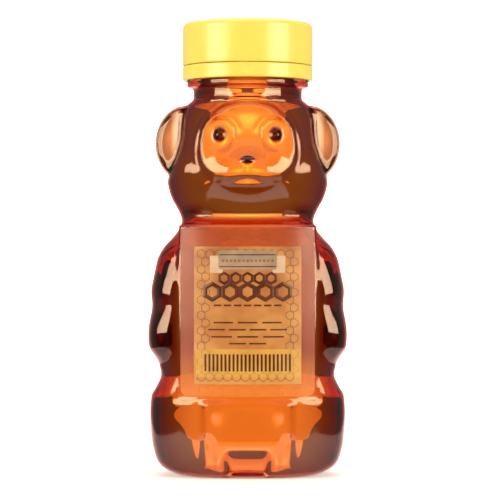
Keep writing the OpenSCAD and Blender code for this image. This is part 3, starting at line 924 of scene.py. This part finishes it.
def ear_webs(f):
    """1 on the ears, where the wall's colour turns a milky tan."""
    x, _, z = f.object_axes()
    outer = f.spread(f.unsigned(x), 23.5 * MM, 26.5 * MM, 0, 1)
    off = f.unsigned(f.minus(z, EAR_Z * HS * MM))
    return f.times(outer, f.spread(off, 11.5 * MM, 14 * MM, 1, 0))


def clear_plastic():
    """Clear blown plastic: what is behind shows through, with a painted amber shade towards the rim and
    painted dark eyes and nose, and the lights show on it.
    """
    f = Finish("clear_plastic")
    clear, amber = (0.99, 0.975, 0.95, 1), (0.58, 0.11, 0.04, 1)
    milky_tan, painted_shade_brown = (0.58, 0.37, 0.26, 1), (0.10, 0.025, 0.012, 1)
    normal = f.bump(f.group(BLOWN), 0.25, 0.4)
    # more shine towards the edges, the same from inside the wall as from outside
    facing = f.add("ShaderNodeLayerWeight", Blend=0.5, Normal=normal).outputs["Facing"]
    shine = f.math("MULTIPLY_ADD", f.math("POWER", facing, 5.0), 0.75, 0.04)
    # painted shade: the see-through colour turns amber towards the outline, where the view grazes the
    # wall
    rim_shaded = f.blend(f.spread(facing, 0.03, 0.6, 0, 1), clear, amber)
    eared = f.blend(ear_webs(f), rim_shaded, milky_tan)
    # painted shade: the eyes and nose are tinted dark brown
    colour = f.blend(painted_eye_nose_shade(f), eared, painted_shade_brown)
    roughness = f.spread(f.group(SCUFFS, Amount=0.35), 0, 1, 0.08, 0.24)
    return f.see_through(colour, (1, 1, 1, 1), normal, roughness, shine)


def clear_inside():
    """The inner face of the wall, where the honey wets it: it hardly shines."""
    f = Finish("clear_inside")
    wall = f.group(BLOWN)
    colour = f.blend(wall, (0.97, 0.94, 0.88, 1), (0.99, 0.97, 0.93, 1))
    return f.see_through(colour, (0.8, 0.8, 0.8, 1), f.bump(wall, 0.2, 0.4), 0.06, 0.008)


def honey_gold():
    """Clear amber honey: plain glass with the colour in its depth."""
    f = Finish(
        "honey_gold",
        Base_Color=(1, 1, 1, 1),
        Roughness=0.0,
        IOR=1.47,
        Transmission_Weight=1.0,
        Specular_Tint=(0.15, 0.15, 0.15, 1),
    )
    f.set(Normal=f.bump(f.group(BLOWN, Seam_Depth=0.0), 0.2, 0.6))
    depth = f.add("ShaderNodeVolumeAbsorption", Color=(0.935, 0.61, 0.1, 1), Density=108.0)
    f.join(depth, f.out["Volume"])
    return f.material


def yellow_cap():
    """Bright yellow moulded plastic, a little see-through to light, with a fine grain."""
    f = Finish(
        "yellow_cap",
        IOR=1.49,
        Coat_Weight=0.15,
        Coat_Roughness=0.18,
        Subsurface_Weight=0.25,
        Subsurface_Radius=(1.0, 0.8, 0.15),
        Subsurface_Scale=1.5 * MM,
    )
    grain = f.group(GRAIN, Grain_Scale=2200.0, Drift_Scale=60.0)
    marks = f.group(SCUFFS, Amount=0.4)
    tone = f.blend(f.drift(grain, 0, 1, 0.15), (0.80, 0.69, 0.14, 1), (0.83, 0.73, 0.17, 1))
    colour = f.blend(f.spread(marks, 0, 1, 0, 0.25), tone, (0.98, 0.88, 0.3, 1))
    return f.painted(colour, f.spread(marks, 0, 1, 0.3, 0.5), f.bump(grain, 0.12, 0.08))


def film_clear():
    """The label's clear margin: a rosy film over the honey, with a painted orange glow at its foot."""
    f = Finish("label_film", IOR=1.5)
    _, _, z = f.object_axes()
    down = f.spread(z, (LABEL_Z + 16) * MM, (LABEL_Z + 2) * MM, 0, 1)
    grain = f.group(GRAIN, Grain_Scale=1500.0, Drift_Scale=90.0)
    rosy = f.blend(f.drift(grain, 0, 1), (0.24, 0.038, 0.025, 1), (0.30, 0.055, 0.038, 1))
    f.set(Alpha=f.drift(grain, 0.46, 0.54))
    # painted light: the film turns orange towards its foot, for the lit honey glowing behind it
    colour = f.blend(down, rosy, (0.60, 0.22, 0.05, 1))
    return f.painted(colour, f.drift(grain, 0.22, 0.32), f.bump(grain, 0.1, 0.05))


def dots(f, pitch, size):
    """Round halftone dots on the label's own plane, as a mask."""
    x, _, z = f.object_axes()
    off_x, off_z = [f.minus(f.math("FRACT", f.over(axis, pitch)), 0.5) for axis in (x, z)]
    far = f.math("SQRT", f.plus(f.times(off_x, off_x), f.times(off_z, off_z)))
    return f.math("LESS_THAN", far, size)


def print_gold():
    """The printed gold field: warmer at the top, yellower below, with a light halftone."""
    f = Finish("print_gold", IOR=1.5)
    _, _, z = f.object_axes()
    down = f.spread(z, (LABEL_Z + LABEL_H - 6) * MM, (LABEL_Z + 6) * MM, 0, 1)
    grain = f.group(GRAIN, Grain_Scale=1800.0, Drift_Scale=120.0)
    tone = f.blend(down, (0.27, 0.11, 0.042, 1), (0.35, 0.175, 0.055, 1))
    tone = f.blend(f.drift(grain, 0, 0.8, 0.15), tone, (0.47, 0.28, 0.09, 1))
    dotted = f.times(dots(f, 0.7 * MM, 0.26), 0.22)
    colour = f.blend(dotted, tone, (0.36, 0.10, 0.03, 1))
    return f.painted(colour, f.drift(grain, 0.28, 0.4), f.bump(grain, 0.08, 0.04))


def print_plain(name, first, second, roughness):
    """A printed patch in one colour, with the ink's slight unevenness."""
    f = Finish(name, IOR=1.5)
    grain = f.group(GRAIN, Grain_Scale=2400.0, Drift_Scale=260.0)
    colour = f.blend(f.drift(grain, 0, 1, 0.15), first, second)
    return f.painted(colour, f.drift(grain, roughness, roughness + 0.12), f.bump(grain, 0.08, 0.04))


def foil_metal():
    """Embossed aluminium foil."""
    f = Finish("seal_foil", Metallic=1.0)
    grain = f.group(GRAIN, Grain_Scale=900.0, Drift_Scale=200.0)
    colour = f.blend(grain.outputs["Drift"], (0.72, 0.72, 0.72, 1), (0.86, 0.86, 0.86, 1))
    x, y, _ = f.object_axes()
    waves = [f.math("SINE", f.times(axis, 2 * math.pi / (1.2 * MM))) for axis in (x, y)]
    return f.painted(colour, f.drift(grain, 0.25, 0.4), f.bump(f.times(*waves), 0.3, 0.1))


def foam_white():
    """White closed-cell foam."""
    f = Finish("liner_foam", IOR=1.45)
    cells = f.add("ShaderNodeTexVoronoi", Vector=f.object_place(), Scale=2500.0)
    grain = f.group(GRAIN, Drift_Scale=180.0)
    colour = f.blend(grain.outputs["Drift"], (0.86, 0.86, 0.82, 1), (0.93, 0.93, 0.9, 1))
    return f.painted(colour, f.drift(grain, 0.7, 0.85), f.bump(cells.outputs["Distance"], 0.3, 0.1))


CLEAR = clear_plastic()
CLEAR_INSIDE = clear_inside()
HONEY = honey_gold()
YELLOW = yellow_cap()
FILM_CLEAR = film_clear()
GOLD_INK = print_gold()
BROWN_INK = print_plain("print_brown", (0.055, 0.014, 0.006, 1), (0.085, 0.024, 0.01, 1), 0.3)
CREAM_INK = print_plain("print_cream", (0.25, 0.21, 0.165, 1), (0.31, 0.27, 0.22, 1), 0.32)
WHEAT_INK = print_plain("print_wheat", (0.45, 0.38, 0.30, 1), (0.52, 0.45, 0.37, 1), 0.32)
STRAW_INK = print_plain("print_straw", (0.41, 0.26, 0.058, 1), (0.47, 0.31, 0.072, 1), 0.32)
FOIL = foil_metal()
FOAM = foam_white()


# The bottle and the honey

def neck_profile():
    """The neck from the bear's joint over the bead and the lip to the bore."""
    outside = [
        (NECK_R, BEAD_Z - 0.6), (NECK_R + 0.05, BEAD_Z - 0.1), (NECK_R + 0.5, BEAD_Z + 0.25),
        (BEAD_R - 0.6, BEAD_Z + 0.55), (BEAD_R - 0.12, BEAD_Z + 0.9), (BEAD_R, BEAD_Z + 1.3),
        (BEAD_R, FINISH_Z - 0.45), (BEAD_R - 0.1, FINISH_Z - 0.12), (BEAD_R - 0.4, FINISH_Z),
        (THREAD_ROOT + 0.5, FINISH_Z), (THREAD_ROOT + 0.1, FINISH_Z + 0.1),
        (THREAD_ROOT, FINISH_Z + 0.5), (THREAD_ROOT, LIP_Z - 0.7),
    ]
    lip = arc_points(THREAD_ROOT - 0.5, LIP_Z - 0.5, 0.5, 0, 90, 5)
    inside = arc_points(BORE_R + 0.35, LIP_Z - 0.35, 0.35, 90, 180, 5)
    bore = [(BORE_R, LIP_Z - 1), (BORE_R, FINISH_Z + 0.5), (BORE_R + 0.4, FINISH_Z - 0.6)]
    flare = [(NECK_R - WALL - 0.5, BEAD_Z), (NECK_R - WALL, BEAD_Z - 0.8)]
    return outside + lip + inside + bore + flare


def clear_bottle(grid, normals, angles):
    """One clear wall: the bear's outside, the neck, the bore and the inside of the bear."""
    # the inside is every second row, from the neck down
    inside = (grid - normals * WALL)[-2::-2]
    rows = np.concatenate([grid, lathe_rows(neck_profile(), angles), inside])
    obj = closed_grid("clear_bottle", rows, CLEAR)
    obj.data.materials.append(CLEAR_INSIDE)
    first_inner = (len(rows) - len(inside)) * rows.shape[1]
    for face in obj.data.polygons:
        if min(face.vertices) >= first_inner:
            face.material_index = 1
    finish_piece(obj, "bottle", "bear_body", "neck_finish", slot="clear_plastic")


def honey_fill(grid, normals, angles):
    """The honey up into the neck, just clear of the wall, with its top drawn up at the edge."""
    wide = NECK_R - WALL - HONEY_GAP
    r = BORE_R - HONEY_GAP
    top = HONEY_TOP
    profile = [(wide, BEAD_Z - 0.9), (wide - 0.5, BEAD_Z - 0.1)]
    profile += [(r + 0.4, FINISH_Z - 0.7), (r, FINISH_Z + 0.4)]
    profile += [(r, z) for z in np.linspace(FINISH_Z + 1, top - 0.3, 6)]
    profile += [(r - 0.03, top - 0.08), (r - 0.15, top), (r - 0.4, top - 0.12), (r - 1.1, top - 0.4)]
    profile += [(r * f, top - 0.55) for f in (0.85, 0.6, 0.35, 0.1)]
    skin_rows = grid - normals * (WALL + HONEY_GAP)
    rows = np.concatenate([skin_rows, lathe_rows(profile, angles)])
    obj = closed_grid("honey_fill", rows, HONEY)
    finish_piece(obj, "bottle", "honey", slot="honey")


def build_bottle():
    front_step, back_step = ((1.5, 3.0))
    row_step = 0.75
    grid = bear_grid(row_step, front_step, back_step)
    normals = grid_normals(grid)
    angles = all_angles(front_step, back_step)
    clear_bottle(grid, normals, angles)
    honey_fill(grid, normals, angles)
    thread = thread_ridge("neck_thread", THREAD_ROOT + 0.1, 1.05, THREAD_Z, THREAD_TURNS, CLEAR)
    finish_piece(thread, "bottle", slot="clear_plastic")


# The label

# the printed field: half width, and its edges above the label's foot
FIELD_HALF_W = 18.2
FIELD_LOW = 4.1
FIELD_HIGH = 50.7
FIELD_MARGIN = 0.3
# thickness of a printed patch, and how far proud of the film the cells and the marks lie
INK_T = 0.015
CELLS_LIFT = 0.03
MARKS_LIFT = 0.09
# printed patches: name, half width, low and high edge above the label's foot, corner radius,
# how far proud of the film, ink, and place across
PATCHES = [
    ("label_field", FIELD_HALF_W, FIELD_LOW, FIELD_HIGH, 0.6, 0.0, GOLD_INK, 0.0),
    ("label_ribbon_left", 2.2, 41.8, 47.6, 0.5, 0.04, WHEAT_INK, -10.6),
    ("label_ribbon_right", 2.2, 41.8, 47.6, 0.5, 0.04, WHEAT_INK, 10.6),
    ("label_plaque", 9.9, 42.9, 49.4, 0.9, 0.06, CREAM_INK, 0.0),
    ("label_panel", 17.6, 6.5, 16.0, 0.5, 0.02, STRAW_INK, 0.0),
]
# rows of marks: name, kind, count, pitch, mark width, mark height, height above the label's foot
ROWS = [
    ("label_small_cells", "cells", 5, 4.0, 4.2, 3.8, 40.0),
    ("label_large_cells", "cells", 5, 6.0, 6.4, 6.3, 35.4),
    ("label_bars", "bars", 22, 1.36, 0.68, 5.8, 11.4),
    ("label_plaque_rule_high", "bars", 1, 1.0, 19.0, 0.35, 47.9),
    ("label_plaque_rule_low", "bars", 1, 1.0, 19.0, 0.35, 43.9),
    ("label_plaque_beads", "cells", 13, 1.4, 0.8, 0.8, 45.9),
    ("label_rule_a", "bars", 3, 8.2, 6.6, 0.5, 25.0),
    ("label_rule_b", "bars", 4, 7.0, 5.6, 0.5, 22.6),
    ("label_rule_c", "bars", 3, 8.8, 7.0, 0.5, 20.2),
    ("label_rule_d", "bars", 2, 6.8, 5.6, 0.5, 17.9),
    ("label_rule_top", "bars", 7, 3.4, 2.5, 0.6, 30.8),
]


def build_label():
    """A clear film with a printed field, a plain plaque, rows of wax cells, rules and bars."""
    high = LABEL_Z + LABEL_H
    film = label_sheet("label_film", LABEL_W / 2, LABEL_Z, high, LABEL_CORNER, GLUE, FILM, FILM_CLEAR)
    finish_piece(film, "bottle", "front_label", slot="label_film")
    top = GLUE + FILM
    pieces = []
    for name, half, low, high, corner, lift, ink, centre in PATCHES:
        ends = (LABEL_Z + low, LABEL_Z + high)
        pieces.append(label_sheet(name, half, *ends, corner, top + lift, INK_T, ink, centre))
    ends = (LABEL_Z + FIELD_LOW + FIELD_MARGIN, LABEL_Z + FIELD_HIGH - FIELD_MARGIN)
    pieces.append(label_cells(FIELD_HALF_W - FIELD_MARGIN, *ends, top + CELLS_LIFT, BROWN_INK))
    lift = top + MARKS_LIFT
    for name, kind, count, pitch, wide, tall, z in ROWS:
        row = label_row(name, kind, count, pitch, wide, tall, LABEL_Z + z, lift, BROWN_INK)
        pieces.append(row)
    for piece in pieces:
        finish_piece(piece, "bottle", slot="label_film")


# The cap

CAP_ANGLES = np.radians(np.arange(-90, 270, 1.875))


def thumb_hollow(rows):
    """Presses the thumb hollow into the band, under the front edge of the lid."""
    centre_y = -CAP_R - THUMB_OUT
    gap = np.hypot(rows[..., 0], rows[..., 2] - BAND_Z)
    reach = np.sqrt(np.maximum(THUMB_R**2 - gap**2, 0)) + centre_y
    hit = (gap < THUMB_R) & (rows[..., 1] < reach) & (rows[..., 1] < 0)
    rows[..., 1] = np.where(hit, reach, rows[..., 1])
    return rows


def cap_screw():
    """The screw part: band, skirt, tower, deck and spout, turned as one ring."""
    inner = CAP_R - CAP_WALL
    web_z = BAND_Z - 1.6
    corners = [
        (SKIRT_R, CAP_Z), (SKIRT_R + 1.1, CAP_Z), (TOWER_R, web_z), (inner, web_z),
        (inner, CAP_Z), (CAP_R, CAP_Z),
    ]
    # points up the band, for the thumb hollow to press in
    corners += [(CAP_R, CAP_Z + up) for up in (1.6, 2.6, 3.4, 4.1)]
    corners += [
        (CAP_R, BAND_Z), (TOWER_R, BAND_Z), (TOWER_R, DECK_TOP), (SPOUT_R + 1.6, DECK_TOP),
        (SPOUT_R + 0.3, DECK_TOP + 0.7), (SPOUT_R, SPOUT_Z), (ORIFICE_R, SPOUT_Z),
        (ORIFICE_R, DECK_Z), (SKIRT_R, DECK_Z),
    ]
    rows = lathe_rows(filleted(corners, 0.4), CAP_ANGLES)
    obj = ring_grid("cap_screw", thumb_hollow(rows), YELLOW)
    finish_piece(obj, "cap", "cap_base", slot="cap_plastic")
    # half a pitch lower than the neck's ridge, so that it lies between its turns
    ridge = thread_ridge("cap_thread", SKIRT_R + 0.05, 1.0, THREAD_Z - PITCH / 2, 1.1, YELLOW)
    finish_piece(ridge, "cap", slot="cap_plastic")


def lid_profile():
    """From the tip of the plug, out under the top, down the inside, and up over the outside."""
    under = TOP_Z - LID_TOP
    tip = SPOUT_Z - 1.3
    inner = CAP_R - CAP_WALL
    profile = [(0.5, tip), (1.3, tip), (1.6, tip + 0.1), (2.3, SPOUT_Z - 0.3), (2.45, SPOUT_Z)]
    profile += [(2.55, under - 0.5), (2.7, under - 0.2), (3.1, under), (8, under), (14, under)]
    profile += arc_points(inner - 0.6, under - 0.6, 0.6, 90, 0, 4)
    profile += [(inner, under - 1.5), (inner, LID_Z + 0.35), (inner + 0.1, LID_Z + 0.08)]
    profile += [(inner + 0.3, LID_Z), (CAP_R - 0.35, LID_Z), (CAP_R - 0.1, LID_Z + 0.1)]
    profile += [(CAP_R, LID_Z + 0.35), (CAP_R, LID_Z + 1.2), (CAP_R, TOP_Z - 3), (CAP_R, TOP_Z - 1.9)]
    profile += arc_points(CAP_R - LID_ROUND, TOP_Z - LID_ROUND, LID_ROUND, 0, 90, 9)
    return profile + [(CAP_R - 2.6, TOP_Z), (CAP_R - 6, TOP_Z), (9, TOP_Z), (3, TOP_Z)]


def flip_lid():
    obj = closed_grid("lid_shell", lathe_rows(lid_profile(), CAP_ANGLES), YELLOW)
    finish_piece(obj, "lid", "flip_lid", slot="cap_plastic")


def hinge_strip():
    """The thin bowed strip at the back that joins the band to the lid."""
    half_w = (HINGE_HIGH[0] - HINGE_LOW[0]) / 2
    middle = (BAND_Z + LID_Z) / 2
    centre_y = CAP_R - 1.2
    bow = arc_points(0, 0, HINGE_BOW, -52, 52, 15) + arc_points(0, 0, HINGE_BOW - HINGE_T, 52, -52, 15)
    across = np.linspace(-half_w, half_w, 25)
    rows = np.array([[[x, centre_y + out, middle + up] for out, up in bow] for x in across])
    obj = closed_grid("hinge_strip", rows, YELLOW)
    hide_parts("living_hinge")
    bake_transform(obj)


def dress_hidden_nodes():
    """The foil and the liner keep their own meshes and get their finishes."""
    for node, finish in (("foil_seal", FOIL), ("cap_liner", FOAM)):
        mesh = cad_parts[node].data
        mesh.materials.clear()
        mesh.materials.append(finish)


# The studio

# the floor narrows towards the camera and meets the backdrop, which glows most behind the head
FLOOR_NEAR = -88
FLOOR_NEAR_HALF_W = 100
STAGE_FAR = 700
STAGE_HALF_W = 172
STAGE_H = 250
WALL_GLOW = 1.6
PATCH_GLOW = 2.6
PATCH_PLACE = (0, 135)
PATCH_HALF = (70, 35)
# the side softboxes, one on each side
BOX_PLACE = (430, -300, 175)
BOX_AIM = (0, 0, 110)
BOX_SIZE = (340, 280)
BOX_WATTS = 4.0
WARM = (1, 0.68, 0.44)
# the room's light in front of the bottle and behind it
ROOM_DIM = 0.04
ROOM_PALE = 0.34
CAMERA_PLACE = (0.8, -767, 77.8)
CAMERA_LENS = 159.2
CAMERA_FILM_W = 36


def stage_sheet(name, corners, finish):
    """A flat sheet of the stage, which isn't part of the bottle."""
    obj = make_mesh(name, corners, [[0, 1, 2, 3]], finish.material)


def stage():
    """A white floor, and a glowing backdrop as wide as the camera sees."""
    glow = {"Emission_Color": (1, 1, 1, 1), "Roughness": 0.8}
    floor = Finish("floor_white", Base_Color=(0.8, 0.8, 0.8, 1), Emission_Strength=0.35, **glow)
    wall = Finish("wall_white", Base_Color=(0.02, 0.02, 0.02, 1), **glow)
    # the backdrop is brighter over an oval, which the honey gathers behind the forehead
    x, _, z = wall.object_axes()
    fall = wall.math("POWER", 1 / math.e, wall.oval(x, z, PATCH_PLACE, PATCH_HALF))
    wall.set(Emission_Strength=wall.math("MULTIPLY_ADD", fall, PATCH_GLOW, WALL_GLOW))
    far = [(-STAGE_HALF_W, STAGE_FAR, 0), (STAGE_HALF_W, STAGE_FAR, 0)]
    near = [(-FLOOR_NEAR_HALF_W, FLOOR_NEAR, 0), (FLOOR_NEAR_HALF_W, FLOOR_NEAR, 0)]
    high = [(STAGE_HALF_W, STAGE_FAR, STAGE_H), (-STAGE_HALF_W, STAGE_FAR, STAGE_H)]
    stage_sheet("floor", near + far[::-1], floor)
    stage_sheet("backdrop", far + high, wall)


def soft_light(name, place, aim, size, power, colour=(1, 1, 1)):
    """A rectangular light of this power in watts."""
    data = bpy.data.lights.new(name, "AREA")
    data.shape = "RECTANGLE"
    data.size = size[0] * MM
    data.size_y = size[1] * MM
    data.energy = power
    data.color = colour
    obj = linked(name, data)
    obj.location = Vector(place) * MM
    obj.rotation_euler = (Vector(aim) - Vector(place)).to_track_quat("-Z", "Y").to_euler()
    return obj


def lights():
    """A warm softbox on each side, a weak light in front and a broad one over the stage."""
    x, y, z = BOX_PLACE
    for side in (-x, x):
        box = soft_light("side_softbox", (side, y, z), BOX_AIM, BOX_SIZE, BOX_WATTS, WARM)
        box.visible_transmission = False
    soft_light("key", (0, -800, 900), (0, 0, 80), (1300, 800), 1.4)
    soft_light("overhead", (0, 360, 1000), (0, 360, 0), (1200, 1600), 10.0)


def room():
    """The room is dim in front of the bottle and paler behind it."""
    world = bpy.data.worlds.new("studio")
    world.use_nodes = True
    nodes = Nodes(world.node_tree)
    around = nodes.add("ShaderNodeTexCoord").outputs["Generated"]
    depth = nodes.add("ShaderNodeSeparateXYZ", Vector=around).outputs["Y"]
    background = world.node_tree.nodes["Background"].inputs
    background["Color"].default_value = (1, 0.97, 0.93, 1)
    nodes.join(nodes.spread(depth, -0.4, 0.3, ROOM_DIM, ROOM_PALE), background["Strength"])
    bpy.context.scene.world = world
    bpy.context.scene.view_settings.view_transform = "Standard"


def camera():
    """Level with the bottle's middle, straight in front, as the photograph was taken."""
    data = bpy.data.cameras.new("camera")
    data.sensor_width = CAMERA_FILM_W
    data.lens = CAMERA_LENS
    data.clip_start = 50 * MM
    obj = linked("camera", data)
    obj.location = Vector(CAMERA_PLACE) * MM
    obj.rotation_euler = (math.pi / 2, 0, 0)
    bpy.context.scene.camera = obj


build_bottle()
build_label()
cap_screw()
flip_lid()
hinge_strip()
dress_hidden_nodes()
stage()
lights()
room()
camera()
